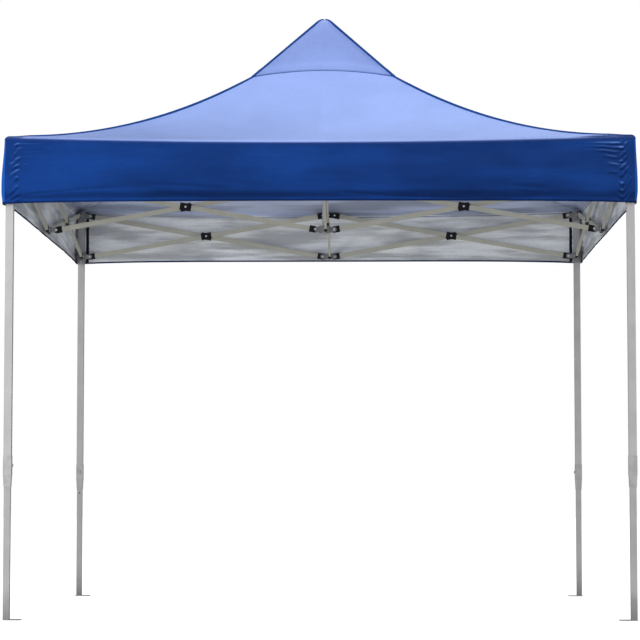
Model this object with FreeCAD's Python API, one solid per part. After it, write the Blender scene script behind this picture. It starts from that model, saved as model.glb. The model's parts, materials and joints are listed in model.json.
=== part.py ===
"""Pop-up gazebo, 3 m by 3 m, standing open. Millimetres, +Z up, origin on the ground at the centre.

A folding steel frame under a fabric canopy. Each side carries two scissor pairs between its legs,
and four scissor arms join the middles of the sides to two hubs in the centre. All bars are alike.
A pair crosses at its middle: one bar lies in the outer layer and one in the inner layer.
Everything is drawn once, for the front side (y < 0) and the front left corner, and turned by 90 degrees.
"""

import FreeCAD, Part
import math
import os

V = FreeCAD.Vector
UP = V(0, 0, 1)
SIDES = ("front", "right", "back", "left")
CORNERS = ("fl", "fr", "br", "bl")

# Frame: where the pivots are
LEG_SPACING = 2900.0          # between the centres of neighbouring legs
HALF = LEG_SPACING / 2
UPPER_Z = 2215.0              # pivots at the leg tops, upper mid joints and upper hub
LOWER_Z = 1975.0              # pivots at the sliders, lower mid joints and lower hub
LEG_PIVOT = 50.0              # from a leg's centre to its pivots
MID_PIVOT = 35.0              # from a side's middle to the pivots of its joints
HUB_PIVOT = LEG_PIVOT         # from the centre to the hubs' pivots, so that all bars are alike
SPAN = HALF - LEG_PIVOT - MID_PIVOT
BAR_LENGTH = math.hypot(SPAN, UPPER_Z - LOWER_Z)
SLOPE = math.degrees(math.atan2(UPPER_Z - LOWER_Z, SPAN))
LAYER = 7.0                   # from a scissor's middle plane to the middle of each bar

# Scissor bars and their plastic sleeves
BAR_H = 25.0
BAR_T = 12.0
BAR_WALL = 0.8
SLEEVE_H = 34.0
SLEEVE_T = 13.4
CROSS_SLEEVE = 60.0           # length of the sleeve where two bars cross
CROSS_SLEEVE_H = 38.0         # and its height
END_SLEEVE = 30.0             # from the pivot towards the bar's middle
TUBE_SETBACK = 8.0            # from the pivot to the tube's end, inside the sleeve

# Rivets
RIVET_R = 3.0
RIVET_CLEARANCE = 0.08
HEAD_R = 5.5
HEAD_H = 2.5

# Lugs: two plates on either side of a bar's end
LUG_GAP = 7.0                 # from the bar's middle to a plate
LUG_T = 2.5
LUG_R = 13.0
MID_BLOCK = 14.0              # from a mid joint's centre to the ends of its solid block

# Legs
OUTER_LEG = 36.0
OUTER_WALL = 1.0
OUTER_BOTTOM = 668.0
OUTER_TOP = 2236.0
INNER_LEG = 30.0
INNER_WALL = 1.0
INNER_TOP = 860.0
FOOT_T = 3.0
FOOT_OUT = 17.0               # from the leg's centre to the foot plate's outer edges
FOOT_IN = 65.0                # and to its inner edges
FOOT_ROUND = 8.0
PEG_AT = 44.0
PEG_R = 5.5
COLLAR = 39.0                 # sleeve on the outer leg's lower end
COLLAR_TOP = 760.0
NECK_TOP = 37.0
NECK_BOTTOM = 33.0
NECK_END = 615.0
NECK_BORE = 30.8

# Corner fittings
FITTING = 42.8                # outside width of the leg top and the slider
SLIDER_BORE = 36.8
CAP_BOTTOM = 2180.0
CAP_T = 4.0
SLIDER_UP = 20.0
SLIDER_DOWN = 40.0

# Pull buttons on the sliders and the collars
BUTTON_R = 8.0
BUTTON_H = 6.0
PIN_R = 3.0
PIN_SHORT = 0.4               # gap between the pin's tip and the tube that it locks
SLIDER_BUTTON_Z = LOWER_Z - 29.0
COLLAR_BUTTON_Z = 715.0
LEG_HOLE_R = 4.0
LEG_HOLE_PITCH = 60.0

# Hubs and centre pole
HUB_R = 30.0
HUB_H = 36.0
POLE_R = 12.5
POLE_WALL = 1.2
POLE_BOTTOM = LOWER_Z - 26.0
POLE_TOP = 3066.0
CAP_R = 20.0
CAP_SKIRT = 3040.0
CAP_TOP = 3084.0
HUB_BORE = CAP_R + 2.0        # the pole's cap passes through the upper hub when the frame folds

# Canopy
CLOTH = 2.0
CANOPY_HALF = 1474.0
HEM_Z = 1945.0
EAVE_Z = 2252.0
SEAM_HALF = 370.0             # where the flatter skirt of the roof meets its steep peak
SEAM_Z = 2720.0
SAG_AT = 920.0                # a point of the skirt's hollow curve
SAG_Z = 2408.0
PEAK_HALF = 21.0
PEAK_Z = 3092.0


def box(x0, x1, y0, y1, z0, z1):
    return Part.makeBox(x1 - x0, y1 - y0, z1 - z0, V(x0, y0, z0))


def square(width, z0, z1):
    """A square post centred on the Z axis."""
    return box(-width / 2, width / 2, -width / 2, width / 2, z0, z1)


def frustum(width0, z0, width1, z1):
    """A square post that tapers from width0 at z0 to width1 at z1."""
    rings = []
    for width, z in ((width0, z0), (width1, z1)):
        h = width / 2
        rings.append(Part.makePolygon([V(-h, -h, z), V(h, -h, z), V(h, h, z), V(-h, h, z), V(-h, -h, z)]))
    return Part.makeLoft(rings, True, True)


def turned(shape, turns):
    """A copy of the shape turned about the Z axis by quarter turns."""
    copy = shape.copy()
    copy.rotate(V(0, 0, 0), UP, 90.0 * turns)
    return copy


def rivet(y0, y1, x=0.0, z=0.0):
    """One rivet along Y whose heads bear on the faces at y0 and y1."""
    shank = Part.makeCylinder(RIVET_R, y1 - y0, V(x, y0, z), V(0, 1, 0))
    low = Part.makeCylinder(HEAD_R, HEAD_H, V(x, y0 - HEAD_H, z), V(0, 1, 0))
    high = Part.makeCylinder(HEAD_R, HEAD_H, V(x, y1, z), V(0, 1, 0))
    return shank.fuse([low, high]).removeSplitter()


def rivet_hole(x, z):
    reach = 4 * SLEEVE_T
    return Part.makeCylinder(RIVET_R + RIVET_CLEARANCE, 2 * reach, V(x, -reach, z), V(0, 1, 0))


def bar_solids(with_rivet):
    """A scissor bar along +X from its first pivot: steel tube, end sleeves and crossing sleeve."""
    middle = BAR_LENGTH / 2
    t, h = BAR_T / 2, BAR_H / 2
    ends = (TUBE_SETBACK, BAR_LENGTH - TUBE_SETBACK)
    outside = box(ends[0], ends[1], -t, t, -h, h)
    inside = box(ends[0], ends[1], BAR_WALL - t, t - BAR_WALL, BAR_WALL - h, h - BAR_WALL)
    tube = outside.cut(inside).cut(rivet_hole(middle, 0))
    st, sh = SLEEVE_T / 2, SLEEVE_H / 2
    cl, ch = CROSS_SLEEVE / 2, CROSS_SLEEVE_H / 2
    crossing = box(middle - cl, middle + cl, -st, st, -ch, ch)
    crossing = crossing.cut(outside).cut(rivet_hole(middle, 0))
    round_end = Part.makeCylinder(sh, SLEEVE_T, V(0, -st, 0), V(0, 1, 0))
    end = box(0, END_SLEEVE, -st, st, -sh, sh).fuse(round_end).removeSplitter()
    end = end.cut(outside).cut(rivet_hole(0, 0))
    far_end = end.mirror(V(middle, 0, 0), V(1, 0, 0))
    solids = [tube, end, crossing, far_end]
    if with_rivet:
        solids.append(rivet(-2 * LAYER - st, st, middle))
    return solids


def side_bar(x0, y, rises, with_rivet):
    """A bar of the front side whose left pivot is at x0."""
    bar = Part.makeCompound(bar_solids(with_rivet))
    bar.rotate(V(0, 0, 0), V(0, 1, 0), -SLOPE if rises else SLOPE)
    bar.translate(V(x0, y, LOWER_Z if rises else UPPER_Z))
    return bar


def arm_bar(x, rises, with_rivet):
    """A bar from a hub towards the middle of the front side."""
    bar = Part.makeCompound(bar_solids(with_rivet))
    bar.rotate(V(0, 0, 0), V(0, 1, 0), -SLOPE if rises else SLOPE)
    bar.rotate(V(0, 0, 0), UP, -90)
    bar.translate(V(x, -HUB_PIVOT, LOWER_Z if rises else UPPER_Z))
    return bar


def lug(x0, x1, layer):
    """Two plates that start at x0 and hold a bar's pivot at x1 in the given layer, and their rivet, at z = 0."""
    plates = []
    for side in (-1, 1):
        inner = layer + side * LUG_GAP
        outer = layer + side * (LUG_GAP + LUG_T)
        y0, y1 = min(inner, outer), max(inner, outer)
        left, right = min(x0, x1), max(x0, x1)
        plate = box(left, right, y0, y1, -LUG_R, LUG_R)
        plate = plate.fuse(Part.makeCylinder(LUG_R, LUG_T, V(x1, y0, 0), V(0, 1, 0)))
        plates.append(plate.cut(rivet_hole(x1, 0)))
    reach = LUG_GAP + LUG_T
    return plates, rivet(layer - reach, layer + reach, x1)


def fused(solids):
    return solids[0].fuse(solids[1:]).removeSplitter()


def at_height(shape, z):
    shape.translate(V(0, 0, z))
    return shape


def swapped(shape):
    """The mirror image across the corner's diagonal."""
    return shape.mirror(V(0, 0, 0), V(1, -1, 0))


def corner_fitting(layer, post, bore, z):
    """A fitting around a leg with one lug along +X and one along +Y, centred on the leg."""
    body, rivets = [post], []
    plates, pin = lug(FITTING / 2 - 1, LEG_PIVOT, layer)
    for shape in plates:
        body.append(at_height(shape, z))
        body.append(swapped(shape))
    rivets.append(at_height(pin, z))
    rivets.append(swapped(pin))
    return [fused(body).cut(bore)] + rivets


def pull_pin(wall_x, tip_x, z):
    """A pull button along +X: a knob that bears on the face at wall_x and a pin that ends at tip_x."""
    along = V(1, 0, 0)
    knob = Part.makeCylinder(BUTTON_R, BUTTON_H, V(wall_x, 0, z), along)
    knob = knob.makeFillet(1.5, [edge for edge in knob.Edges if edge.BoundBox.XMin > wall_x + 1])
    pin = Part.makeCylinder(PIN_R, wall_x - tip_x, V(tip_x, 0, z), along)
    return knob.fuse(pin).removeSplitter()


def pin_hole(radius, x0, x1, z):
    return Part.makeCylinder(radius, x1 - x0, V(x0, 0, z), V(1, 0, 0))


def leg_top():
    post = square(FITTING, CAP_BOTTOM, OUTER_TOP + CAP_T)
    bore = square(OUTER_LEG, CAP_BOTTOM - 1, OUTER_TOP)
    return corner_fitting(-LAYER, post, bore, UPPER_Z)


def slider():
    low, high = LOWER_Z - SLIDER_DOWN, LOWER_Z + SLIDER_UP
    post = square(FITTING, low, high)
    bore = square(SLIDER_BORE, low - 1, high + 1)
    solids = corner_fitting(LAYER, post, bore, LOWER_Z)
    hole = pin_hole(PIN_R + RIVET_CLEARANCE, OUTER_LEG / 2, FITTING, SLIDER_BUTTON_Z)
    solids[0] = solids[0].cut(hole)
    return solids


def slider_button():
    return [pull_pin(FITTING / 2, OUTER_LEG / 2 + PIN_SHORT, SLIDER_BUTTON_Z)]


def outer_leg():
    """The outer tube and the plastic collar that guides the inner leg."""
    tube = square(OUTER_LEG, OUTER_BOTTOM, OUTER_TOP)
    tube = tube.cut(square(OUTER_LEG - 2 * OUTER_WALL, OUTER_BOTTOM, OUTER_TOP))
    for z in (COLLAR_BUTTON_Z, SLIDER_BUTTON_Z):
        tube = tube.cut(pin_hole(LEG_HOLE_R, 0, OUTER_LEG, z))
    sleeve = square(COLLAR, OUTER_BOTTOM, COLLAR_TOP).cut(square(OUTER_LEG, OUTER_BOTTOM, COLLAR_TOP))
    neck = frustum(NECK_BOTTOM, NECK_END, NECK_TOP, OUTER_BOTTOM)
    collar = sleeve.fuse(neck).cut(square(NECK_BORE, NECK_END - 1, OUTER_BOTTOM + 1))
    collar = collar.cut(pin_hole(PIN_R + RIVET_CLEARANCE, OUTER_LEG / 2 - 1, COLLAR, COLLAR_BUTTON_Z))
    return [tube, collar.removeSplitter()]


def leg_button():
    return [pull_pin(COLLAR / 2, INNER_LEG / 2 + PIN_SHORT, COLLAR_BUTTON_Z)]


def inner_leg():
    """The inner tube with its height holes, standing on a foot plate with a peg hole."""
    tube = square(INNER_LEG, FOOT_T, INNER_TOP)
    tube = tube.cut(square(INNER_LEG - 2 * INNER_WALL, FOOT_T, INNER_TOP))
    for step in range(3):
        z = COLLAR_BUTTON_Z - step * LEG_HOLE_PITCH
        tube = tube.cut(pin_hole(LEG_HOLE_R, 0, INNER_LEG, z))
    plate = box(-FOOT_OUT, FOOT_IN, -FOOT_OUT, FOOT_IN, 0, FOOT_T)
    upright = [edge for edge in plate.Edges if edge.BoundBox.ZLength > FOOT_T / 2]
    plate = plate.makeFillet(FOOT_ROUND, upright)
    plate = plate.cut(Part.makeCylinder(PEG_R, FOOT_T, V(PEG_AT, PEG_AT, 0)))
    return [tube, plate]


def mid_joint(layer, z):
    """The joint at the middle of the front side: two lugs for its bars and one for the arm."""
    reach = LUG_GAP + LUG_T
    block = box(-MID_BLOCK, MID_BLOCK, layer - reach, layer + reach, -LUG_R, LUG_R)
    body, rivets = [block], []
    for side in (-1, 1):
        plates, pin = lug(0, side * MID_PIVOT, layer)
        body += plates
        rivets.append(pin)
    plates, pin = lug(-layer, MID_PIVOT, -layer)
    for shape in plates:
        body.append(turned(shape, 1))
    rivets.append(turned(pin, 1))
    joint = Part.makeCompound([fused(body)] + rivets)
    joint.translate(V(0, -HALF, z))
    return joint


def hub(layer, post, bore, z):
    """A hub with a lug towards the middle of each side."""
    body, rivets = [post], []
    plates, pin = lug(HUB_R - 4, HUB_PIVOT, layer)
    for turn in range(4):
        body += [at_height(turned(shape, turn), z) for shape in plates]
        rivets.append(at_height(turned(pin, turn), z))
    return [fused(body).cut(bore)] + rivets


def upper_hub():
    post = Part.makeCylinder(HUB_R, HUB_H, V(0, 0, UPPER_Z - HUB_H / 2))
    bore = Part.makeCylinder(HUB_BORE, HUB_H, V(0, 0, UPPER_Z - HUB_H / 2))
    return hub(-LAYER, post, bore, UPPER_Z)


def lower_hub():
    post = Part.makeCylinder(HUB_R, HUB_H, V(0, 0, LOWER_Z - HUB_H / 2))
    bore = Part.makeCylinder(POLE_R, HUB_H, V(0, 0, LOWER_Z - HUB_H / 2))
    return hub(LAYER, post, bore, LOWER_Z)


def peak_pole():
    """The centre pole and the rounded cap that holds the canopy up."""
    tube = Part.makeCylinder(POLE_R, POLE_TOP - POLE_BOTTOM, V(0, 0, POLE_BOTTOM))
    tube = tube.cut(Part.makeCylinder(POLE_R - POLE_WALL, POLE_TOP - POLE_BOTTOM, V(0, 0, POLE_BOTTOM)))
    cap = Part.makeCylinder(CAP_R, CAP_TOP - CAP_SKIRT, V(0, 0, CAP_SKIRT))
    rim = [edge for edge in cap.Edges if edge.BoundBox.ZMin > CAP_TOP - 1]
    cap = cap.makeFillet(CAP_R / 2, rim)
    cap = cap.cut(Part.makeCylinder(POLE_R, POLE_TOP - CAP_SKIRT, V(0, 0, CAP_SKIRT)))
    return [tube, cap]


def canopy_block(thin, hem):
    """The closed block under one canopy surface: a hollow roof profile run both ways and kept where they meet."""
    half, seam, peak = CANOPY_HALF - thin, SEAM_HALF - thin / 2, PEAK_HALF - thin / 2
    skirt = (V(half, 0, EAVE_Z - thin), V(SAG_AT, 0, SAG_Z - thin), V(seam, 0, SEAM_Z - thin))
    left = [V(-point.x, 0, point.z) for point in skirt]
    corners = [V(half, 0, hem), skirt[0], skirt[2], V(peak, 0, PEAK_Z - thin)]
    mirrored = [V(-point.x, 0, point.z) for point in corners]
    edges = [
        Part.makeLine(mirrored[0], corners[0]),
        Part.makeLine(corners[0], corners[1]),
        Part.Arc(*skirt).toShape(),
        Part.makeLine(corners[2], corners[3]),
        Part.makeLine(corners[3], mirrored[3]),
        Part.makeLine(mirrored[3], mirrored[2]),
        Part.Arc(left[2], left[1], left[0]).toShape(),
        Part.makeLine(mirrored[1], mirrored[0]),
    ]
    face = Part.Face(Part.Wire(edges))
    face.translate(V(0, -2 * HALF, 0))
    run = face.extrude(V(0, 4 * HALF, 0))
    return run.common(turned(run, 1))


def canopy():
    """Roof and valances, sewn in one, open underneath."""
    return [canopy_block(0, HEM_Z).cut(canopy_block(CLOTH, HEM_Z - 10))]


def export(name, shape):
    shape.exportStep("parts/" + name + ".step")


def main():
    os.makedirs("parts", exist_ok=True)
    first = -HALF + LEG_PIVOT
    for turn, side in enumerate(SIDES):
        export("arm_top_" + side, turned(arm_bar(-LAYER, False, False), turn))
        export("arm_low_" + side, turned(arm_bar(LAYER, True, True), turn))
        export("mid_top_" + side, turned(mid_joint(LAYER, UPPER_Z), turn))
        export("mid_low_" + side, turned(mid_joint(-LAYER, LOWER_Z), turn))
        for end, x0 in enumerate((first, MID_PIVOT)):
            at_leg = CORNERS[(turn + end) % 4]
            towards_leg = end == 1
            high = side_bar(x0, -HALF - LAYER, towards_leg, False)
            low = side_bar(x0, -HALF + LAYER, not towards_leg, True)
            export("bar_high_" + side + "_" + at_leg, turned(high, turn))
            export("bar_low_" + side + "_" + at_leg, turned(low, turn))
    fittings = {
        "leg_top": leg_top(),
        "slider": slider(),
        "slider_button": slider_button(),
        "outer_leg": outer_leg(),
        "leg_button": leg_button(),
        "inner_leg": inner_leg(),
    }
    for name, solids in fittings.items():
        fitting = Part.makeCompound(solids)
        fitting.translate(V(-HALF, -HALF, 0))
        for turn, corner in enumerate(CORNERS):
            export(name + "_" + corner, turned(fitting, turn))
    for name, solids in (("upper_hub", upper_hub()), ("lower_hub", lower_hub()),
                         ("peak_pole", peak_pole()), ("canopy", canopy())):
        export(name, Part.makeCompound(solids))


main()
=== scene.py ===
"""Pop-up gazebo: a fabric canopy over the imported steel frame, on a pale floor. Metres, +Z up."""

import json
import math

import bpy
import numpy as np
from mathutils import Matrix, Vector, noise

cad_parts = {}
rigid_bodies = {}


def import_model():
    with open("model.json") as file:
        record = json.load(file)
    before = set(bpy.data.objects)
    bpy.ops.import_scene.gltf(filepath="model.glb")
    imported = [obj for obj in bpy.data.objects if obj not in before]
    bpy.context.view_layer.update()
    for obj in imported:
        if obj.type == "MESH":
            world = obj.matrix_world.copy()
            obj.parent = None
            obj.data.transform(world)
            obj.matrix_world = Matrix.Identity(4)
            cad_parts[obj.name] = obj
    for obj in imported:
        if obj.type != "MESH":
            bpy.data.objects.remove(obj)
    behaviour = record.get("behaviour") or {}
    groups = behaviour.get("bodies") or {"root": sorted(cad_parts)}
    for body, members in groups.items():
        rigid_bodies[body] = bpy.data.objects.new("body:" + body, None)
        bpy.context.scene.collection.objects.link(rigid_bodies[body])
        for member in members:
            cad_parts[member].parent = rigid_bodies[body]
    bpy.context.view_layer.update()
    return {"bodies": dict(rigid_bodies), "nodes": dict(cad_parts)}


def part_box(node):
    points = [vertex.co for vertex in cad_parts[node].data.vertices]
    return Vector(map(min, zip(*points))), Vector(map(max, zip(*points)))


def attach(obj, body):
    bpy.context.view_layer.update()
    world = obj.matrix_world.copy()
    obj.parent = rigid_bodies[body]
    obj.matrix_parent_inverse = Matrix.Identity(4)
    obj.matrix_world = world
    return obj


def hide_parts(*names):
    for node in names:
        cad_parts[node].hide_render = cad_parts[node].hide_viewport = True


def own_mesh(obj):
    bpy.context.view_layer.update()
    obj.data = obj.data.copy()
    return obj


SIDES = ("front", "right", "back", "left")
CORNERS = ("fl", "fr", "br", "bl")

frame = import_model()
nodes = frame["nodes"]
bodies = frame["bodies"]
scene = bpy.context.scene

# Where the frame is: the numbers that the CAD is built from
HALF = 1.450                  # from the centre to the leg centres
LAYER = 0.007                 # from a scissor's middle plane to the middle of each bar
LEG_PIVOT = 0.050
MID_PIVOT = 0.035
HUB_PIVOT = 0.050
UPPER_Z = 2.215
LOWER_Z = 1.975
BAR_T = 0.012
BAR_H = 0.025
LEG_HALF = 0.018
COLLAR_BOTTOM = 0.668
FOOT_T = 0.003
POLE_R = 0.0125
CAP_SKIRT = 3.040
RIVET_REACH = 0.0057          # a rivet's faces lie within this of its axis
LUG_REACH = 0.024             # and a lug's within this
HUB_LUG_FROM = 0.030          # a hub's lugs start this far from its axis
COVER_FROM = 0.007            # a mid joint's outer cover starts this far out of the side's plane
HAIR = 0.00015                # allowance when faces are told apart by place

canopy_low, canopy_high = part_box("canopy")
CANOPY_HALF = canopy_high.x + 0.002
HEM_Z = canopy_low.z
EAVE_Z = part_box("leg_top_fl")[1].z + 0.016


# ---------------------------------------------------------------- camera, light and floor

def make_camera():
    """A long lens, low down and nearly square to the front side."""
    data = bpy.data.cameras.new("camera")
    data.sensor_width = 36.0
    data.lens = 137.9
    data.clip_start = 0.1
    data.clip_end = 200.0
    camera = bpy.data.objects.new("camera", data)
    camera.location = (0.2103, -12.837, 0.5611)
    camera.rotation_euler = (math.radians(94.169), 0.0, math.radians(1.046))
    scene.collection.objects.link(camera)
    scene.camera = camera


def area_light(name, place, target, size, power, mirrored=False):
    """A rectangular lamp aimed at a point; a mirrored one shows in glossy surfaces too."""
    data = bpy.data.lights.new(name, "AREA")
    data.shape = "RECTANGLE"
    data.size, data.size_y = size
    data.energy = power
    light = bpy.data.objects.new(name, data)
    light.location = place
    aim = Vector(target) - Vector(place)
    light.rotation_euler = aim.to_track_quat("-Z", "Y").to_euler()
    light.visible_glossy = mirrored
    scene.collection.objects.link(light)


def make_world(seen, above, below, mirrored):
    """Plain white behind the object.

    As a light it is dimmer below than above, and dimmer still in gloss.
    """
    world = bpy.data.worlds.new("studio")
    world.use_nodes = True
    tree = world.node_tree
    paths = tree.nodes.new("ShaderNodeLightPath")
    direction = tree.nodes.new("ShaderNodeSeparateXYZ")
    tree.links.new(tree.nodes.new("ShaderNodeTexCoord").outputs["Generated"], direction.inputs[0])
    fade = tree.nodes.new("ShaderNodeMapRange")
    fade.interpolation_type = "SMOOTHSTEP"
    tree.links.new(direction.outputs[2], fade.inputs["Value"])
    limits = (("From Min", -0.5), ("From Max", 0.8), ("To Min", below), ("To Max", above))
    for name, number in limits:
        fade.inputs[name].default_value = number
    strength = fade.outputs["Result"]
    for ray, value in (("Is Glossy Ray", mirrored), ("Is Camera Ray", seen)):
        pick = tree.nodes.new("ShaderNodeMix")
        tree.links.new(paths.outputs[ray], pick.inputs[0])
        tree.links.new(strength, pick.inputs[2])
        pick.inputs[3].default_value = value
        strength = pick.outputs[0]
    background = tree.nodes["Background"]
    background.inputs["Color"].default_value = (1.0, 1.0, 1.0, 1.0)
    tree.links.new(strength, background.inputs["Strength"])
    scene.world = world


def make_floor(extent):
    """A pale floor that the camera sees, and that diffuse and glossy rays don't."""
    data = bpy.data.meshes.new("floor")
    corners = [(x * extent, y * extent, 0.0) for x, y in ((-1, -1), (1, -1), (1, 1), (-1, 1))]
    data.from_pydata(corners, [], [(0, 1, 2, 3)])
    floor = bpy.data.objects.new("floor", data)
    scene.collection.objects.link(floor)
    material = bpy.data.materials.new("floor")
    material.use_nodes = True
    shader = material.node_tree.nodes["Principled BSDF"]
    shader.inputs["Base Color"].default_value = (0.80, 0.80, 0.80, 1.0)
    shader.inputs["Roughness"].default_value = 0.9
    shader.inputs["Emission Color"].default_value = (1.0, 1.0, 1.0, 1.0)
    shader.inputs["Emission Strength"].default_value = 0.62
    data.materials.append(material)
    floor.visible_diffuse = False
    floor.visible_glossy = False


# ---------------------------------------------------------------- materials

class Graph:
    """A material's node graph, with short ways to add and link nodes."""

    def __init__(self, name):
        self.material = bpy.data.materials.new(name)
        self.material.use_nodes = True
        self.tree = self.material.node_tree
        self.shader = self.tree.nodes["Principled BSDF"]

    def node(self, kind, **settings):
        """A new shader node with its settings."""
        made = self.tree.nodes.new("ShaderNode" + kind)
        for key, value in settings.items():
            setattr(made, key, value)
        return made

    def link(self, source, target):
        self.tree.links.new(source, target)

    def set(self, **values):
        """Values on the shader's own sockets; an underscore stands for a space."""
        for key, value in values.items():
            self.shader.inputs[key.replace("_", " ")].default_value = value

    def math(self, operation, a, b=None):
        """A sum, product or function of sockets and plain numbers."""
        made = self.node("Math", operation=operation)
        for socket, value in zip(made.inputs, (a, b)):
            if value is None:
                continue
            if isinstance(value, (int, float)):
                socket.default_value = value
            else:
                self.link(value, socket)
        return made.outputs[0]

    def noise(self, scale, detail, roughness=0.5, vector=None, stretch=None):
        """Smooth noise over the object, or over the vector given, stretched along its axes."""
        made = self.node("TexNoise")
        made.inputs["Scale"].default_value = scale
        made.inputs["Detail"].default_value = detail
        made.inputs["Roughness"].default_value = roughness
        if vector is None:
            vector = self.node("TexCoord").outputs["Object"]
        if stretch:
            mapping = self.node("Mapping")
            mapping.inputs["Scale"].default_value = stretch
            self.link(vector, mapping.inputs["Vector"])
            vector = mapping.outputs["Vector"]
        self.link(vector, made.inputs["Vector"])
        return made.outputs["Fac"]

    def ramp(self, value, low, high, low_to=0.0, high_to=1.0, smooth=True):
        """From low_to to high_to as the value goes from low to high."""
        made = self.node("MapRange")
        made.interpolation_type = "SMOOTHSTEP" if smooth else "LINEAR"
        self.link(value, made.inputs["Value"])
        limits = (("From Min", low), ("From Max", high), ("To Min", low_to), ("To Max", high_to))
        for name, number in limits:
            made.inputs[name].default_value = number
        return made.outputs["Result"]

    def mix(self, factor, a, b, blend="MIX"):
        """Two colours mixed; each input is a socket, a number or a colour."""
        made = self.node("Mix", data_type="RGBA", blend_type=blend)
        for socket, value in ((made.inputs[0], factor), (made.inputs[6], a), (made.inputs[7], b)):
            if isinstance(value, (int, float)):
                socket.default_value = value
            elif isinstance(value, tuple):
                socket.default_value = (*value, 1.0)
            else:
                self.link(value, socket)
        return made.outputs[2]

    def bump(self, height, strength, distance, normal=None):
        """A normal that follows a height, on top of another normal where there is one."""
        made = self.node("Bump")
        made.inputs["Strength"].default_value = strength
        made.inputs["Distance"].default_value = distance
        self.link(height, made.inputs["Height"])
        if normal is not None:
            self.link(normal, made.inputs["Normal"])
        return made.outputs["Normal"]


def weave_height(graph, uv, thread):
    """Crossing threads: two rows of ridges, one along each direction of the cloth."""
    parts = graph.node("SeparateXYZ")
    graph.link(uv, parts.inputs[0])
    waves = []
    for axis in (0, 1):
        turns = graph.math("MULTIPLY", parts.outputs[axis], 2 * math.pi / thread)
        waves.append(graph.math("SINE", turns))
    return graph.math("MULTIPLY", waves[0], waves[1])


def painted_sky_light(graph, dark, light, turn):
    """Painted light and shade: dark on upright cloth, painted shade where it faces down, and a painted
    lighter colour and brightness the more it faces up, as if lit from above.

    Turn says between which two limits it goes from dark to light.
    """
    facing = graph.node("SeparateXYZ")
    graph.link(graph.node("NewGeometry").outputs["Normal"], facing.inputs[0])
    up = facing.outputs[2]
    # painted shade at the eave, read from a point attribute, takes the painted light away
    turned = graph.node("Attribute", attribute_name="painted_eave_shade").outputs["Fac"]
    share = graph.math("MULTIPLY", graph.ramp(up, *turn), graph.math("SUBTRACT", 1.0, turned))
    colour = graph.mix(share, dark, light)
    # painted light: brighter still where the cloth faces straight up
    level = graph.ramp(up, 0.65, 1.0, smooth=False)
    painted_top_light = graph.mix(level, (0.99, 0.99, 1.00), (1.25, 1.25, 1.16))
    # painted shade where the cloth faces down
    painted_under_shade = graph.mix(graph.ramp(up, -0.22, 0.0), (0.42, 0.50, 0.52), (1.0, 1.0, 1.0))
    flat = graph.mix(share, painted_under_shade, painted_top_light)
    return graph.mix(1.0, colour, flat, "MULTIPLY")


def fabric(name, dark, light=None, roughness=0.7, sheen=0.0, variation=0.10, thread=0.0016,
           shine=0.25, streaks=None, turn=(0.12, 0.62)):
    """Woven polyester, in one colour, or in two with painted light: the cloth's slope picks the lighter
    one as it faces up.

    Streaks are painted shade and light of soft creases: how close along and across, and the two tones.
    """
    graph = Graph(name)
    uv = graph.node("UVMap", uv_map="cloth").outputs["UV"]
    colour_noise = graph.noise(2.2, 3.0, 0.55)
    fine_noise = graph.noise(60.0, 2.0, 0.6)
    darker = tuple(c * (1.0 - variation) for c in (1.0, 1.0, 1.0))
    lighter = tuple(1.0 + variation * c for c in (1.0, 1.0, 0.6))
    tone = graph.mix(graph.ramp(colour_noise, 0.30, 0.70), darker, lighter)
    # painted light: a lighter colour where the cloth faces up
    colour = painted_sky_light(graph, dark, light, turn) if light else dark
    colour = graph.mix(1.0, colour, tone, "MULTIPLY")
    # painted shade and light of soft creases, as streaks
    if streaks:
        along, across, low, high = streaks
        creased = graph.noise(1.0, 3.0, 0.55, vector=uv, stretch=(along, across, 1.0))
        shade = graph.mix(graph.ramp(creased, 0.40, 0.60), (low, low, low), (high, high, high))
        colour = graph.mix(1.0, colour, shade, "MULTIPLY")
    grain = graph.mix(graph.ramp(fine_noise, 0.3, 0.7), (0.96, 0.96, 0.97), (1.03, 1.03, 1.02))
    colour = graph.mix(1.0, colour, grain, "MULTIPLY")
    graph.link(colour, graph.shader.inputs["Base Color"])
    rough = graph.ramp(fine_noise, 0.2, 0.8, roughness - 0.06, roughness + 0.06)
    graph.link(rough, graph.shader.inputs["Roughness"])
    creases = graph.bump(graph.noise(26.0, 4.0, 0.6), 0.18, 0.004)
    woven = graph.bump(weave_height(graph, uv, thread), 0.25, 0.0002, creases)
    graph.link(woven, graph.shader.inputs["Normal"])
    graph.set(Sheen_Weight=sheen, Sheen_Roughness=0.4, Specular_IOR_Level=shine)
    return graph.material


def painted_steel(name, colour, roughness=0.42, darkened_below=0.0):
    """Powder coat: a faint orange peel, duller patches, and a darkening towards the bottom that fades
    out up to a height.
    """
    graph = Graph(name)
    patches = graph.noise(9.0, 3.0)
    tone = graph.mix(graph.ramp(patches, 0.35, 0.65), (0.94, 0.94, 0.93), (1.03, 1.03, 1.03))
    tone = graph.mix(1.0, colour, tone, "MULTIPLY")
    if darkened_below:
        # darker towards the bottom, fading out up to the given height
        place = graph.node("SeparateXYZ")
        graph.link(graph.node("TexCoord").outputs["Object"], place.inputs[0])
        height = graph.math("ADD", place.outputs[2], graph.math("MULTIPLY", patches, 0.08))
        low_darkening = graph.mix(graph.ramp(height, 0.04, darkened_below), (0.62, 0.61, 0.60), (1.0, 1.0, 1.0))
        tone = graph.mix(1.0, tone, low_darkening, "MULTIPLY")
    graph.link(tone, graph.shader.inputs["Base Color"])
    rough = graph.ramp(patches, 0.3, 0.7, roughness + 0.08, roughness - 0.04)
    graph.link(rough, graph.shader.inputs["Roughness"])
    graph.link(graph.bump(graph.noise(700.0, 1.0), 0.08, 0.0002), graph.shader.inputs["Normal"])
    graph.set(Specular_IOR_Level=0.45)
    return graph.material


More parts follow.
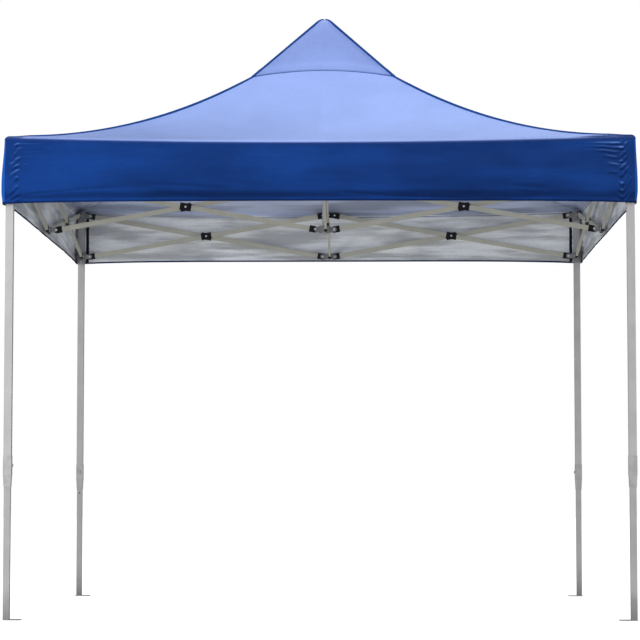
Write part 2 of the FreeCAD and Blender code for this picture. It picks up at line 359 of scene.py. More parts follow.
def moulded(name, colour, roughness=0.5):
    """Moulded plastic with a fine spark-eroded grain."""
    graph = Graph(name)
    grain = graph.noise(900.0, 2.0)
    patches = graph.noise(25.0, 2.0)
    tone = graph.mix(graph.ramp(patches, 0.3, 0.7), (0.90, 0.90, 0.90), (1.06, 1.06, 1.06))
    graph.link(graph.mix(1.0, colour, tone, "MULTIPLY"), graph.shader.inputs["Base Color"])
    rough = graph.ramp(patches, 0.3, 0.7, roughness - 0.05, roughness + 0.07)
    graph.link(rough, graph.shader.inputs["Roughness"])
    graph.link(graph.bump(grain, 0.12, 0.0002), graph.shader.inputs["Normal"])
    graph.set(Specular_IOR_Level=0.4)
    return graph.material


def zinc(name, dark, light, metallic):
    """Plated steel with a fine spangle between two tones."""
    graph = Graph(name)
    spangle = graph.noise(260.0, 3.0)
    tone = graph.mix(graph.ramp(spangle, 0.3, 0.7), dark, light)
    graph.link(tone, graph.shader.inputs["Base Color"])
    graph.link(graph.ramp(spangle, 0.3, 0.7, 0.28, 0.45), graph.shader.inputs["Roughness"])
    graph.set(Metallic=metallic)
    return graph.material


ROYAL_BLUE = (0.0028, 0.033, 0.185)
# the corner piping's blue, brighter than the cloth: partly the piping's own colour, partly a painted
# highlight where the rounded corner catches light
PIPING_HIGHLIGHT_BLUE = (0.006, 0.085, 0.42)
# painted light: the roof's lighter colour where it faces up
PAINTED_LIGHT_PERIWINKLE = (0.285, 0.395, 0.830)
# painted highlight on the valances' folds that face up
PAINTED_FOLD_HIGHLIGHT = (0.150, 0.320, 0.760)
SILVER = (0.745, 0.77, 0.80)
# painted shade: the roof's lining, the same silver lining as the valances', made darker and bluer
SHADED_LINING = (0.42, 0.48, 0.67)
BINDING = (0.003, 0.018, 0.085)
HIP_BLUE = (0.005, 0.052, 0.250)
NEARLY_BLACK = (0.010, 0.012, 0.022)
TAPE_THREAD = 0.0011          # tapes and bindings are woven finer than the cloth
# the roof's outside: painted light from its slope, and painted shade at the eave from its point
# attribute
OUTER = fabric("roof_outside", ROYAL_BLUE, PAINTED_LIGHT_PERIWINKLE, roughness=0.45, sheen=0.05, shine=0.35,
               variation=0.055, turn=(0.22, 0.80))
# the valances' outside: painted highlights on folds that face up, and painted shade and light of creases
# as streaks
VALANCE = fabric("valance_outside", ROYAL_BLUE, PAINTED_FOLD_HIGHLIGHT, roughness=0.40, shine=0.15,
                 variation=0.12, streaks=(1.1, 5.0, 0.88, 1.14))
# the valances' silver lining, with painted shade and light of creases as streaks
INNER = fabric("valance_inside", SILVER, roughness=0.42, shine=0.6,
               variation=0.06, streaks=(1.6, 13.0, 0.68, 1.22))
# the roof's lining: a darker copy of the silver lining as painted shade, and painted shade and light of
# creases as streaks
CEILING = fabric("roof_inside", SHADED_LINING, roughness=0.42, shine=0.6,
                 variation=0.06, streaks=(1.3, 6.5, 0.66, 1.18))
TRIM = fabric("binding_tape", BINDING, roughness=0.75, shine=0.10, thread=TAPE_THREAD)
HIP_BINDING = fabric("hip_binding", HIP_BLUE, roughness=0.7, shine=0.10, thread=TAPE_THREAD)
# corner piping, partly a painted highlight of the rounded corner
PIPING = fabric("corner_piping", PIPING_HIGHLIGHT_BLUE, roughness=0.6, shine=0.15, thread=TAPE_THREAD)
TAPE = fabric("hook_and_loop", NEARLY_BLACK, roughness=0.9, thread=TAPE_THREAD)
BAR_PAINT = painted_steel("bar_paint", (0.50, 0.49, 0.415))
LEG_PAINT = painted_steel("leg_paint", (0.434, 0.431, 0.443))
INNER_LEG_PAINT = painted_steel("inner_leg_paint", (0.390, 0.386, 0.398), darkened_below=0.22)
COLLAR = moulded("collar_plastic", (0.402, 0.398, 0.408))
GREY = moulded("grey_plastic", (0.25, 0.25, 0.255))
BLACK = moulded("black_plastic", (0.012, 0.012, 0.013), 0.42)
FOOT_ZINC = zinc("foot_zinc", (0.56, 0.56, 0.56), (0.80, 0.80, 0.79), 0.60)
RIVET = zinc("rivet", (0.72, 0.72, 0.71), (0.90, 0.90, 0.89), 0.30)


# ---------------------------------------------------------------- materials of the CAD nodes

def turned_back(points, turns):
    """Points turned about Z by quarter turns, clockwise, so that every side reads as the front one."""
    out = points.copy()
    for _ in range(turns % 4):
        out[..., 0], out[..., 1] = out[..., 1].copy(), -out[..., 0].copy()
    return out


def along_y(points, x, z):
    """Distance from the line along Y at x and z."""
    return np.hypot(points[..., 0] - x, points[..., 2] - z)


def along_x(points, y, z):
    """Distance from the line along X at y and z."""
    return np.hypot(points[..., 1] - y, points[..., 2] - z)


def bar_zones(name, p, low):
    """0 tube, 1 plastic sleeve, 2 rivet, for each face's points of a bar that is turned to the front."""
    arm = name.startswith("arm_")
    if arm:
        across = p[..., 0] - (LAYER if low else -LAYER)
        run = p[..., 1]
        middle = -(HUB_PIVOT + HALF - MID_PIVOT) / 2
    else:
        across = p[..., 1] - (-HALF + (LAYER if low else -LAYER))
        run = p[..., 0]
        middle = math.copysign((MID_PIVOT + HALF - LEG_PIVOT) / 2, run.mean())
    rise = np.polyfit(run.ravel(), p[..., 2].ravel(), 1)[0]
    slope = math.atan(rise)
    crossing_z = (UPPER_Z + LOWER_Z) / 2
    height = (p[..., 2] - crossing_z) * math.cos(slope) - (run - middle) * math.sin(slope)
    in_tube = np.abs(across).max(1) < BAR_T / 2 + HAIR
    in_tube &= np.abs(height).max(1) < BAR_H / 2 + HAIR
    rivet_at = along_x(p, middle, crossing_z) if arm else along_y(p, middle, crossing_z)
    zone = np.where(in_tube, 0, 1)
    zone[rivet_at.max(1) < RIVET_REACH] = 2
    return zone


def rivets_of(kind, p):
    """For each face, whether it is part of a rivet, in a fitting turned to the front or front left."""
    z = UPPER_Z if kind in ("mid_top", "upper_hub", "leg_top") else LOWER_Z
    if kind in ("mid_top", "mid_low"):
        tests = [along_y(p, x, z) for x in (-MID_PIVOT, MID_PIVOT)]
        tests.append(along_x(p, -HALF + MID_PIVOT, z))
    elif kind in ("upper_hub", "lower_hub"):
        tests = [along_y(p, x, z) for x in (-HUB_PIVOT, HUB_PIVOT)]
        tests += [along_x(p, y, z) for y in (-HUB_PIVOT, HUB_PIVOT)]
    else:
        tests = [along_y(p, -HALF + LEG_PIVOT, z), along_x(p, -HALF + LEG_PIVOT, z)]
    return np.any([t.max(1) < RIVET_REACH for t in tests], axis=0)


def black_part(kind, p):
    """For each face, whether it is black plastic rather than grey: arm lugs and covers."""
    if kind in ("mid_top", "upper_hub"):
        return np.ones(len(p), bool)
    if kind == "lower_hub":
        return p[..., 0].max(1) < -HUB_LUG_FROM
    if kind == "mid_low":
        arm_lug = along_x(p, -HALF + MID_PIVOT, LOWER_Z).max(1) < LUG_REACH
        return arm_lug | (p[..., 1].max(1) < -HALF - COVER_FROM + HAIR)
    return np.zeros(len(p), bool)


def face_points(obj):
    """The corner points of every face; faces with more than three corners repeat their first one."""
    mesh = obj.data
    co = np.array([v.co for v in mesh.vertices], float)
    most = max(len(f.vertices) for f in mesh.polygons)
    index = [list(f.vertices) + [f.vertices[0]] * (most - len(f.vertices)) for f in mesh.polygons]
    return co[np.array(index)]


def paint_node(obj, materials, zone):
    """Gives the node its materials, and each face the one that its zone says."""
    obj.data.materials.clear()
    for material in materials:
        obj.data.materials.append(material)
    obj.data.polygons.foreach_set("material_index", np.asarray(zone, np.int32))


def fitting_kind(name, words):
    """What the node is as a fitting: a hub, mid_top, mid_low, leg_top or slider."""
    if name.endswith("hub"):
        return name
    return "_".join(words[:2]) if words[0] in ("mid", "leg") else "slider"


def dress_frame():
    """Paints every CAD node but the canopy, face by face."""
    for name, obj in nodes.items():
        if name == "canopy":
            continue
        points = face_points(obj)
        words = name.split("_")
        side = next((k for k, s in enumerate(SIDES) if s in words), None)
        corner = next((k for k, c in enumerate(CORNERS) if words[-1] == c), 0)
        turns = corner if side is None else side
        p = turned_back(points, turns)
        if name.startswith(("arm_", "bar_")):
            paint_node(obj, (BAR_PAINT, BLACK, RIVET), bar_zones(name, p, "low" in words))
        elif "button" in words:
            paint_node(obj, (COLLAR,), np.zeros(len(p)))
        elif name.startswith(("mid_", "leg_top_", "slider_")) or name.endswith("hub"):
            kind = fitting_kind(name, words)
            zone = np.where(black_part(kind, p), 2, 0)
            paint_node(obj, (GREY, RIVET, BLACK), np.where(rivets_of(kind, p), 1, zone))
        elif name.startswith("outer_leg"):
            beyond = np.abs(p[..., :2] + HALF).max(2).max(1)
            collar = (beyond > LEG_HALF + HAIR) | (p[..., 2].max(1) < COLLAR_BOTTOM + HAIR)
            paint_node(obj, (LEG_PAINT, COLLAR), collar)
        elif name.startswith("inner_leg"):
            paint_node(obj, (INNER_LEG_PAINT, FOOT_ZINC), p[..., 2].max(1) < FOOT_T + HAIR)
        elif name == "peak_pole":
            cap = np.hypot(p[..., 0], p[..., 1]).max(1) > POLE_R + HAIR
            cap &= p[..., 2].min(1) > CAP_SKIRT - HAIR
            paint_node(obj, (LEG_PAINT, BLACK), cap)


# ---------------------------------------------------------------- canopy shape

EDGE_R = 0.021                # rounding of the eave
CORNER_R = 0.010              # rounding of the valance corners, in plan
HIP_R = 0.005                 # rounding along the hips
LAP = 0.008                   # the roof reaches down this far behind the valance
HIDDEN = 0.0040               # and the valance up this far behind the roof's rounded edge
SEAM_U = 0.370
SEAM_RISE = 0.464             # from the eave to the peak's seam
PEAK_SLOPE = 1.060
DOME_U = 0.040
DOME_RISE = 0.0212
EAVE_SAG = 0.024              # the eave's middle hangs this much below its corners
PANEL_SAG = 0.014
SEAM_SAG = 0.004
ARC_STEPS = 3
SEAM_BOW = 0.068              # the seam's middle is this much nearer the peak than its ends
SKIRT_SLOPE = 0.74            # just below the seam
SAG_TO = 1.40                 # half width up to which the skirt's panels hang hollow
CLOTH_T = 0.0012              # thickness
BOUND_HALF = 0.0070           # half the width of the hips' binding on the peak
BOUND_MORE = 0.0030           # and this much more on the skirt
BOUND_LESS = 0.004            # and this much less again at the eave
BOUND_FOOT = 0.004            # width of the slope on each side of it
RIDGE = 0.0048                # how far it stands proud on the peak
RIDGE_MORE = 0.0012           # and this much further on the skirt
SEAM_LIFT = 0.0012            # the peak's panel lies this far over the skirt's
SEAM_LIFT_FROM = 0.33         # half width where that begins
CORNER_ZONE = 0.17            # next to each corner the columns are closer together
CORNER_COLUMNS = 30
MIDDLE_COLUMNS = 72
SKIRT_ROWS = 60
PEAK_ROWS = 26
VALANCE_ROWS = 74


def smooth(value, low=0.0, high=1.0):
    """0 below low, 1 above high, and a soft step between."""
    t = np.clip((value - low) / (high - low), 0.0, 1.0)
    return t * t * (3.0 - 2.0 * t)


def hip_z(u):
    """Height of the hips, and so of a panel's edges, at half width u."""
    t = (CANOPY_HALF - u) / (CANOPY_HALF - SEAM_U)
    skirt = EAVE_Z + SEAM_RISE * (0.23 * t + 0.77 * t * t)
    seam_z = EAVE_Z + SEAM_RISE
    steep = seam_z + PEAK_SLOPE * (SEAM_U - u)
    dome = seam_z + PEAK_SLOPE * (SEAM_U - DOME_U) + DOME_RISE * (1.0 - (u / DOME_U) ** 2)
    return np.where(u >= SEAM_U, skirt, np.where(u >= DOME_U, steep, dome))


PEAK_Z = float(hip_z(np.array(0.0)))


def panel_sag(u):
    """How far a panel's middle hangs below its hips."""
    place = min(1.0, max(0.0, (SAG_TO - u) / (SAG_TO - SEAM_U)))
    hollow = EAVE_SAG + PANEL_SAG * math.sin(math.pi * place)
    if u >= SEAM_U:
        share = (u - SEAM_U) / (CANOPY_HALF - SEAM_U)
        return hollow - (EAVE_SAG - SEAM_SAG) * (1.0 - share)
    return SEAM_SAG * u / SEAM_U


def seam_bow(u):
    """How far towards the peak the middle of a row is moved, most at the seam."""
    return SEAM_BOW * float(smooth(u, 0.04, SEAM_U)) * (1.0 - float(smooth(u, SEAM_U, 0.90)))


def binding_half(u):
    """Half the width of the binding along the hips: narrower on the peak and at the eave."""
    wide = BOUND_HALF + BOUND_MORE * float(smooth(u, SEAM_U - 0.01, SEAM_U + 0.01))
    return wide - BOUND_LESS * float(smooth(u, 1.28, 1.45))


def binding_ridge(u):
    """How far that binding stands proud: most on the skirt, and not at all at the eave."""
    proud = RIDGE + RIDGE_MORE * float(smooth(u, SEAM_U, 0.45))
    return proud * (1.0 - float(smooth(u, 1.36, 1.46)))


def ring_columns(u, radius, binding):
    """The front side's points in plan at half width u, from its left corner.

    The right corner's own point is left out: it is the next side's first one.
    """
    radius = min(radius, 0.35 * u)
    straight = u - radius
    fit = min(1.0, straight / 0.06)
    arc = [math.radians(225.0 + 45.0 * k / ARC_STEPS) for k in range(ARC_STEPS)]
    left = [(-straight + radius * math.cos(a), -straight + radius * math.sin(a)) for a in arc]
    edge = max(0.0012, binding - radius * math.pi / 4) * fit
    beyond = edge + BOUND_FOOT * fit
    span = straight - beyond
    zone = min(CORNER_ZONE, 0.3 * span)
    near = np.linspace(0.0, zone, CORNER_COLUMNS + 1)[:-1]
    middle = np.linspace(-span + zone, span - zone, MIDDLE_COLUMNS + 1)
    inner = np.concatenate([-span + near, middle, span - near[::-1]])
    xs = [-straight, -straight + edge, *inner, straight - edge, straight]
    front = [(x, -u) for x in xs]
    right = [(-x, y) for x, y in reversed(left[1:])]
    return np.array(left + front + right)


SIDE_COLUMNS = len(ring_columns(1.0, 0.01, 0.01))
BIND_COLUMNS = ARC_STEPS + 2  # faces from a corner to the foot of its binding


def whole_ring(u, radius):
    """All four sides' points at half width u, each one's place across (-1 to 1), and its side."""
    side = ring_columns(u, radius, binding_half(u))
    across = np.clip(side[:, 0] / max(u, 1e-6), -1.0, 1.0)
    side[:, 1] += seam_bow(u) * (1 - across ** 2)
    points = []
    for turns in range(4):
        a = math.pi / 2 * turns
        points.append(side @ np.array([[math.cos(a), math.sin(a)], [-math.sin(a), math.cos(a)]]))
    return np.concatenate(points), np.tile(across, 4), np.repeat(np.arange(4), SIDE_COLUMNS)


def sheet_noise(x, y, seed):
    """Smooth noise from about -1 to 1 over the cloth's own coordinates."""
    return noise.noise(Vector((x, y, seed)))


# The next five are for the sides 0 front, 1 right, 2 back and 3 left, seen from outside.
# A pair is for the side's left and right corner or half.

# how strongly the cloth creases
CREASED = {0: (0.95, 1.3), 1: (1.0, 1.1), 2: (1.1, 1.0), 3: (1.0, 0.8)}
# painted shade at the eave: how dark it is where the cloth goes over the edge, how far along, and how
# dark the painted shade on the skirt is there
EAVE_SHADE = {
    0: ((0.85, 0.06, 0.24), (1.0, 0.17, 0.0)),
    1: ((0.6, 0.17, 0.0), (0.2, 0.10, 0.0)),
    2: ((0.3, 0.10, 0.0), (0.2, 0.10, 0.0)),
    3: ((0.2, 0.10, 0.0), (0.4, 0.06, 0.1)),
}
# how far the valance stands out at its corners
FLARE = {0: (0.013, 0.0075), 1: (0.0075, 0.0075), 2: (0.0075, 0.010), 3: (0.010, 0.013)}
# how far its hem hangs in
TUCKED = {0: (0.0080, 0.0100), 1: (0.003, 0.0), 2: (0.004, 0.002), 3: (0.0, 0.004)}
# how loosely the whole side hangs
LOOSE = {0: 0.12, 1: 0.40, 2: 0.50, 3: 0.40}
STAND = 0.0075                # how far a valance stands out away from its corners
STITCHED = 0.060              # from each corner to the upright line of stitches
# folds that run out from the stitches: how far down, slope, length and size
LONG_FOLDS = ((0.026, -0.05, 0.27, 1.2), (0.045, -0.07, 0.25, 1.0), (0.065, -0.08, 0.20, 0.9),
              (0.090, -0.12, 0.13, 0.9), (0.124, -0.10, 0.09, 0.9), (0.156, -0.05, 0.10, 0.7))
STREAK_PITCH = 0.018          # of the painted lighter streaks in the painted shade at the eave's edge
PUCKER_PITCH = 0.031          # of the puckers along the stitches
MOST_INWARD = 0.009           # a valance's hollows stay clear of what is behind it


def from_corner(x, half, pair):
    """Distance from the nearer corner along the side, that corner's value, and its number, 1 or 2."""
    left = x < 0
    return max(half - abs(x), 0.0), pair[0] if left else pair[1], 1.0 if left else 2.0


def painted_eave_shade(x, u, side):
    """Painted shade: 1 at the eave's edge near the corners, with painted lighter streaks, and 0
    elsewhere.

    A corner's painted shade spreads wider and fainter over the skirt.
    """
    d, (edge_shade, far, shade), which = from_corner(x, u, EAVE_SHADE[side])
    up = CANOPY_HALF - u
    wander = 4.0 * sheet_noise(d * 12.0, up * 20.0, side + which)
    # painted lighter streaks across the painted shade
    streak = 0.5 + 0.5 * math.sin(up * 2 * math.pi / STREAK_PITCH + 9.0 * d + wander)
    reach = 1.0 - float(smooth(d, far, 1.8 * far))
    streaked = 1.0 - 0.30 * streak * float(smooth(d, 0.03, 0.10))
    edge = edge_shade * reach * streaked * (1.0 - float(smooth(up, 0.025, 0.08)))
    wide = shade * (1.0 - float(smooth(d, 0.25, 1.30))) * (1.0 - float(smooth(up, 0.30, 1.05)))
    return max(edge, wide)


def wrinkles(x, v, seed):
    """Long soft ridges that run mostly along x, from 0 to about 1."""
    first = sheet_noise(x * 1.3, v + 0.25 * x, seed)
    second = sheet_noise(x * 3.1, 0.8 * v - 0.9 * x, seed + 5.0)
    return max(0.0, 1.0 - 4.5 * abs(first)) ** 1.5 + 0.5 * max(0.0, 1.0 - 5.0 * abs(second)) ** 1.5


def roof_creases(x, u, side):
    """Height of the tension folds that fan out from the corners, and of a slow waviness."""
    d, strength, which = from_corner(x, u, CREASED[side])
    up = CANOPY_HALF - u
    reach = math.hypot(d, up)
    angle = math.atan2(up + 0.01, d + 0.01)
    seed = side * 7.3 + which * 3.1
    wander = 2.2 * sheet_noise(reach * 6.0, angle * 1.5, seed)
    fan = math.sin(angle * 15.0 + wander * 2.0 + seed)
    gate = float(smooth(d, 0.0, 0.05)) * float(smooth(up, 0.0, 0.05))
    folds = 0.0035 * strength * fan * math.exp(-reach / 0.22) * gate
    level = 0.0075 * LOOSE[side] * wrinkles(x, up * 7.0, seed) * math.exp(-up / 0.55) * gate
    slow = 0.0040 * sheet_noise(x * 1.3, u * 1.9, seed + 20.0) * gate
    return folds + level + slow


def valance_creases(x, down, side, drop):
    """How far the valance stands out from its upright plane, this far down and across."""
    d, strength, which = from_corner(x, CANOPY_HALF, CREASED[side])
    share = down / drop
    seed = side * 5.7 + which * 2.3
    gate_top = float(smooth(down, 0.006, 0.026))
    gate_side = float(smooth(d, 0.008, 0.035))

    # short puckers that lean away from the line of stitches, and the stitches' own groove
    off = d - STITCHED - 0.006 * (which - 1.5)
    wander = sheet_noise(d * 20.0, down * 14.0, seed)
    slant = 0.3 if off > 0 else (1.1 if x > 0 else -0.9)
    turn = (down + slant * abs(off)) * 2 * math.pi / PUCKER_PITCH + 3.2 * wander + seed
    pulse = 0.5 + 0.5 * math.sin(turn)
    puckers = 0.0036 * strength * pulse ** 2 * math.exp(-(off / (0.017 if off > 0 else 0.026)) ** 2)
    groove = -0.0014 * math.exp(-(off / 0.0045) ** 2)

    # long folds from the stitches, and folds that fan out from the lower part of the corner
    long_folds = 0.0
    for at, slope, length, size in LONG_FOLDS:
        ridge = size * math.exp(-((down - at - slope * (off + 0.03 * wander)) / 0.0060) ** 2)
        begins = float(smooth(off, -0.035, 0.03))
        ends = 1.0 - float(smooth(off, 0.4 * length, length))
        long_folds += 0.0027 * ridge * begins * ends
    long_folds *= max(0.0, strength - 0.65) * 1.6
    diagonal = 0.5 + 0.5 * math.sin(math.atan2(down - 0.6 * drop, d + 0.02) * 9.0 + 2.0 * wander + seed)
    diagonal *= 0.0022 * strength * math.exp(-d / 0.09)

    # soft folds along and across, only inwards, and a slow waviness
    loose = LOOSE[side]
    level = 0.0062 * loose * wrinkles(x, down * 13.0, seed + 9.0) * float(smooth(d, 0.02, 0.12))
    upright = 0.0080 * loose * max(0.0, 1.0 - 4.0 * abs(sheet_noise(d * 11.0, down * 2.5, seed + 4.0)))
    upright *= math.exp(-d / 0.45) * float(smooth(share, 0.0, 0.3))
    slow = 0.0030 * (1.0 + sheet_noise(x * 0.9, down * 2.2, seed + 17.0)) * float(smooth(d, 0.0, 0.3))
    slow *= float(smooth(down, 0.0, 0.14))
    clear = float(smooth(d, 0.08, 0.14)) * float(smooth(abs(x), 0.06, 0.12))
    inward = min(MOST_INWARD, level + upright) * clear

    # the whole cloth stands out, and its hem turns in
    at_corner = from_corner(x, CANOPY_HALF, FLARE[side])[1]
    stand = STAND + (at_corner - STAND) * math.exp(-((d / 0.16) ** 2))
    flare = stand * float(smooth(share, 0.0, 0.70)) - 0.0055 * float(smooth(share, 0.80, 1.0))
    tuck = from_corner(x, CANOPY_HALF, TUCKED[side])[1] * float(smooth(share, 0.40, 1.0))
    tuck *= float(smooth(d, 0.10, 0.35)) * float(smooth(abs(x), 0.10, 0.70))
    creases = puckers + groove + long_folds + diagonal + slow - inward
    return gate_side * gate_top * creases + flare - tuck


def add_mesh(name, points, faces, uv, zone, materials):
    """A smooth mesh with the cloth's own coordinates, and each face in its zone's material."""
    mesh = bpy.data.meshes.new(name)
    mesh.from_pydata([tuple(p) for p in points], [], faces)
    layer = mesh.uv_layers.new(name="cloth")
    loops = np.array([i for f in faces for i in f])
    layer.data.foreach_set("uv", np.asarray(uv, np.float32)[loops].ravel())
    for material in materials:
        mesh.materials.append(material)
    mesh.polygons.foreach_set("material_index", np.asarray(zone, np.int32))
    mesh.polygons.foreach_set("use_smooth", np.ones(len(faces), bool))
    mesh.update()
    obj = bpy.data.objects.new(name, mesh)
    scene.collection.objects.link(obj)
    return obj


def raised(obj, height):
    """Moves each vertex out along its normal by its height."""
    mesh = obj.data
    co = np.array([v.co for v in mesh.vertices], float)
    normal = np.array([v.normal for v in mesh.vertices], float)
    co += normal * np.asarray(height)[:, None]
    mesh.vertices.foreach_set("co", co.astype(np.float32).ravel())
    mesh.update()


def backed(obj, thickness):
    """Gives the cloth its thickness; the inner face takes the material after the outer one's."""
    solid = obj.modifiers.new("thickness", "SOLIDIFY")
    solid.thickness = thickness
    solid.offset = -1.0
    solid.material_offset = 1
    solid.material_offset_rim = 0
    solid.use_even_offset = False


# each zone is a pair: the outer face's material, and the inner face's
ROOF_MATERIALS = (OUTER, CEILING, HIP_BINDING, CEILING)
VALANCE_MATERIALS = (VALANCE, INNER, VALANCE, TRIM, VALANCE, TAPE, PIPING, INNER)
CLOTH_ZONE, SECOND_ZONE, TAPE_ZONE, PIPING_ZONE = 0, 2, 4, 6


PLEATS = 7                    # along each side when the frame is folded
PLEAT = 0.050                 # how far each stands out, as a share of the way that the side travels
CROWN = 0.69                  # how far the peak comes down, as a share of the lower hub's way
PUFF = 0.22                   # and how much less where a pleat stands out


def pleat(place):
    """0 between pleats and 1 at the middle of each, for places across a side from -1 to 1."""
    return 0.5 - 0.5 * np.cos(2 * np.pi * PLEATS * (np.clip(place, -1.0, 1.0) + 1.0) / 2)


def follow(piece, body, shares):
    """The piece's points follow a body by their shares, besides the body that the piece rides on."""
    group = piece.vertex_groups.new(name=body)
    for index in np.nonzero(shares > 1e-5)[0]:
        group.add([int(index)], float(shares[index]), "REPLACE")
    hook = piece.modifiers.new("follow_" + body, "HOOK")
    hook.object = bodies[body]
    hook.vertex_group = group.name
    hook.falloff_type = "NONE"
    hook.matrix_inverse = Matrix.Identity(4)


def fold_roof(roof):
    """Draws the roof in with the four sides as the frame folds, in pleats that run to the peak."""
    co = np.array([v.co for v in roof.data.vertices], float)
    x, y = co[:, 0], co[:, 1]
    across_front = np.abs(y) > np.abs(x)
    long = np.maximum(np.maximum(np.abs(x), np.abs(y)), 1e-6)
    out = pleat(np.where(across_front, x, y) / long)
    draw_x = np.clip(np.abs(x) / HALF, 0.0, 1.0) * (1.0 - PLEAT * np.where(across_front, 0.0, out))
    draw_y = np.clip(np.abs(y) / HALF, 0.0, 1.0) * (1.0 - PLEAT * np.where(across_front, out, 0.0))
    follow(roof, "mid_top_left", np.where(x < 0, draw_x, 0.0))
    follow(roof, "mid_top_right", np.where(x > 0, draw_x, 0.0))
    follow(roof, "mid_top_front", np.where(y < 0, draw_y, 0.0))
    follow(roof, "mid_top_back", np.where(y > 0, draw_y, 0.0))
    drop = np.clip((co[:, 2] - EAVE_Z) / (PEAK_Z - EAVE_Z), 0.0, 1.0)
    follow(roof, "lower_hub", CROWN * drop * (1.0 - PUFF * out))


def roof_rows():
    """Rows from the lap behind the valance to the peak: half width, height above the surface, kind."""
    rows = [
        (CANOPY_HALF - 0.0030, -EDGE_R - LAP, "lap"),
        (CANOPY_HALF - 0.0005, -EDGE_R - 0.0030, "lap"),
    ]
    for degrees in (0, 15, 30, 45, 60, 75):
        a = math.radians(degrees)
        rows.append((CANOPY_HALF - EDGE_R * (1 - math.cos(a)), -EDGE_R * (1 - math.sin(a)), "edge"))
    start = CANOPY_HALF - EDGE_R
    t = np.linspace(0.0, 1.0, SKIRT_ROWS)
    for share in 0.45 * t + 0.55 * t ** 2.2:
        rows.append((start + (SEAM_U + 0.006 - start) * share, 0.0, "skirt"))
    rows.append((SEAM_U + 0.0035, 0.0, "seam"))
    rows.append((SEAM_U + 0.0005, 0.0, "seam"))
    rows.append((SEAM_U - 0.0010, 0.0, "peak"))
    for share in np.linspace(0.0, 1.0, PEAK_ROWS)[1:]:
        rows.append((SEAM_U + (DOME_U - SEAM_U) * share, 0.0, "peak"))
    for u in (0.032, 0.024, 0.016, 0.008):
        rows.append((u, 0.0, "peak"))
    return rows


def make_roof():
    """The roof in one mesh, from the lap behind the valances up to the peak."""
    points, heights, uv, kinds, turned = [], [], [], [], []
    length = 0.0
    last = None
    for u, dz, kind in roof_rows():
        surface = min(u, CANOPY_HALF)
        radius = CORNER_R
        if kind not in ("lap", "edge"):
            radius = HIP_R + (CORNER_R - HIP_R) * float(smooth(u, 1.30, 1.46))
        plan, across, side = whole_ring(u, radius)
        if kind in ("lap", "edge"):
            base = float(hip_z(np.array(CANOPY_HALF - EDGE_R)))
            z = base + dz - EAVE_SAG * (1 - across ** 2)
        else:
            rise = SKIRT_SLOPE * seam_bow(u) - panel_sag(surface)
            z = float(hip_z(np.array(surface))) + rise * (1 - across ** 2)
            z += np.array([roof_creases(a * u, surface, s) for a, s in zip(across, side)])
        if last is not None:
            length += math.hypot(u - last[0], float(np.mean(z)) - last[1])
        last = (u, float(np.mean(z)))
        points.append(np.column_stack([plan, z]))
        uv.append(np.column_stack([across * u + side * 3.0, np.full(len(z), length)]))
        step = np.tile(np.arange(SIDE_COLUMNS), 4)
        near = np.minimum(step, SIDE_COLUMNS - step)
        lift = np.where(near <= ARC_STEPS + 1, binding_ridge(u), 0.0)
        lift = lift + (SEAM_LIFT if kind == "peak" and u > SEAM_LIFT_FROM else 0.0)
        heights.append(lift)
        # painted shade at the eave, per point, for the outer cloth's material
        turned += [painted_eave_shade(a * surface, surface, s) for a, s in zip(across, side)]
        kinds.append(kind)
    ring = 4 * SIDE_COLUMNS
    rows = len(points)
    flat = np.concatenate(points)
    top = len(flat)
    peak = [0.0, 0.0, PEAK_Z]
    flat = np.vstack([flat, [peak]])
    heights = np.concatenate([*heights, [0.0]])
    uv = np.vstack([*uv, [[0.0, length]]])
    faces, zone = [], []
    for r in range(rows - 1):
        for c in range(ring):
            n = (c + 1) % ring
            faces.append((r * ring + c, r * ring + n, (r + 1) * ring + n, (r + 1) * ring + c))
            step = c % SIDE_COLUMNS
            on_hip = step < BIND_COLUMNS or step >= SIDE_COLUMNS - BIND_COLUMNS
            on_hip = on_hip and kinds[r] in ("skirt", "seam", "peak")
            on_seam = kinds[r] == "seam" and kinds[r + 1] == "peak"
            zone.append(SECOND_ZONE if on_hip or on_seam else CLOTH_ZONE)
    for c in range(ring):
        faces.append(((rows - 1) * ring + c, (rows - 1) * ring + (c + 1) % ring, top))
        zone.append(CLOTH_ZONE)
    roof = add_mesh("canopy_roof", flat, faces, uv, zone, ROOF_MATERIALS)
    # the painted shade at the eave goes on as a point attribute
    roof.data.attributes.new("painted_eave_shade", "FLOAT", "POINT").data.foreach_set("value", [*turned, 0.0])
    raised(roof, heights)
    fold_roof(roof)
    backed(roof, CLOTH_T)
    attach(roof, "root")
    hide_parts("canopy")
    return roof


HEM_H = 0.018
HEM_BINDING = 0.010
END_BINDING = 0.004           # the columns next to a valance's corners
BEHIND = 0.0013               # how far its hidden top edge lies behind its face
CLEAR = 0.0025                # and how far below the roof's edge its face begins
TAPE_FROM, TAPE_TO = 0.026, 0.040   # the hook and loop strip, from the leg's middle


def hem_line(across):
    """Height of the hem: a little lower towards the corners."""
    return HEM_Z + 0.002 - 0.013 * np.abs(across) ** 5


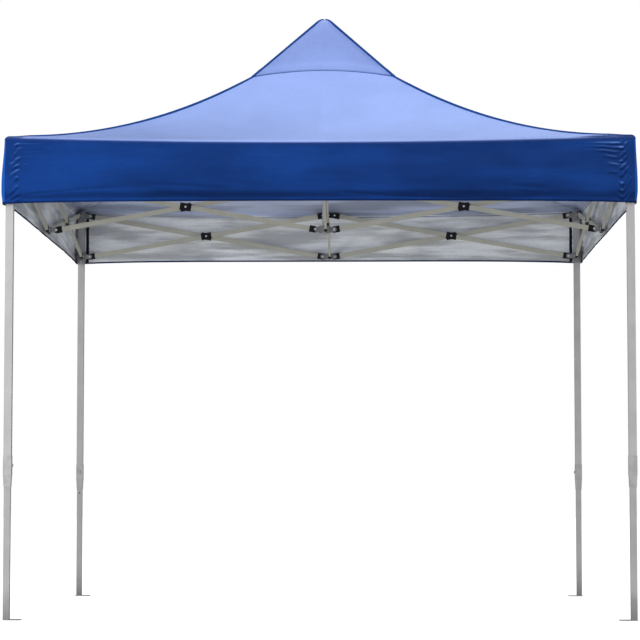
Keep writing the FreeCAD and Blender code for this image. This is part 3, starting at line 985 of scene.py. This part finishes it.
def make_valance(turns):
    """One side's valance, made at the front and turned to its side."""
    side = SIDES[turns]
    plan = ring_columns(CANOPY_HALF, CORNER_R, END_BINDING)
    end = np.array([[-plan[0, 0], plan[0, 1]]])
    plan = np.vstack([plan, end])
    across = np.clip(plan[:, 0] / CANOPY_HALF, -1.0, 1.0)
    base = float(hip_z(np.array(CANOPY_HALF - EDGE_R)))
    top = base - EDGE_R + HIDDEN - EAVE_SAG * (1 - across ** 2)
    hem = hem_line(across)
    shares = list(np.linspace(0.0, 1.0, VALANCE_ROWS))
    drop = float(np.mean(top - hem))
    hem_share = 1.0 - HEM_H / drop
    bind_share = 1.0 - HEM_BINDING / drop
    shares = [s for s in shares if 0.03 < s < hem_share - 0.01]
    shares = [0.0, 0.4 * HIDDEN / drop, HIDDEN / drop, (HIDDEN + CLEAR) / drop, *shares]
    shares += [hem_share, hem_share + 0.015, bind_share, bind_share + 0.003, 1.0]
    flat_part = np.abs(plan[:, 1] + CANOPY_HALF) < 1e-6
    inset = CANOPY_HALF - CORNER_R
    corner = np.array([[math.copysign(inset, x), -inset] for x, _ in plan])
    direction = np.where(flat_part[:, None], np.array([0.0, -1.0]), (plan - corner) / CORNER_R)
    points, uv = [], []
    for share in shares:
        z = top + (hem - top) * share
        wave = np.array([valance_creases(x, share * drop, turns, drop) for x in plan[:, 0]])
        hemmed = 0.0004 if share >= hem_share + 0.003 else 0.0
        behind = BEHIND * (1.0 - min(1.0, share * drop / (HIDDEN + CLEAR)))
        out = plan + direction * (wave + hemmed - 0.0002 - behind)[:, None]
        points.append(np.column_stack([out, z]))
        uv.append(np.column_stack([plan[:, 0], z]))
    columns, rows = len(plan), len(points)
    flat = np.concatenate(points)
    a = math.pi / 2 * turns
    turn = np.array([[math.cos(a), math.sin(a)], [-math.sin(a), math.cos(a)]])
    flat[:, :2] = flat[:, :2] @ turn
    faces, zone = [], []
    for r in range(rows - 1):
        for c in range(columns - 1):
            first, below = r * columns + c, (r + 1) * columns + c
            faces.append((first, below, below + 1, first + 1))
            from_leg = HALF - abs((plan[c, 0] + plan[c + 1, 0]) / 2)
            if shares[r] >= bind_share + 0.002:
                zone.append(SECOND_ZONE)
            elif TAPE_FROM < from_leg < TAPE_TO:
                zone.append(TAPE_ZONE)
            elif min(c, columns - 2 - c) < ARC_STEPS - 1:
                zone.append(PIPING_ZONE)
            else:
                zone.append(CLOTH_ZONE)
    valance = add_mesh("valance_" + side, flat, faces, np.vstack(uv), zone, VALANCE_MATERIALS)
    follow(valance, "root", PLEAT * pleat(np.tile(across, rows)))
    backed(valance, CLOTH_T)
    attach(valance, "mid_top_" + side)
    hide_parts("canopy")
    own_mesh(valance)
    return valance


# ---------------------------------------------------------------- build

make_camera()
make_world(seen=1.0, above=0.75, below=0.66, mirrored=0.05)
make_floor(60.0)
area_light("key", (-4.5, -5.8, 3.4), (-0.8, -0.8, 2.0), (1.6, 1.6), 150.0)
area_light("overhead", (3.5, 0.3, 7.5), (0.5, 0.2, 2.5), (4.0, 4.0), 100.0)
area_light("high_front", (1.8, -6.5, 7.5), (0.4, -0.8, 2.2), (1.2, 0.6), 60.0, mirrored=True)
area_light("low_front", (-3.2, -8.0, 0.9), (0.0, 1.0, 2.2), (2.0, 1.0), 140.0)
scene.view_settings.view_transform = "Standard"

dress_frame()
roof = make_roof()
valances = [make_valance(turns) for turns in range(4)]
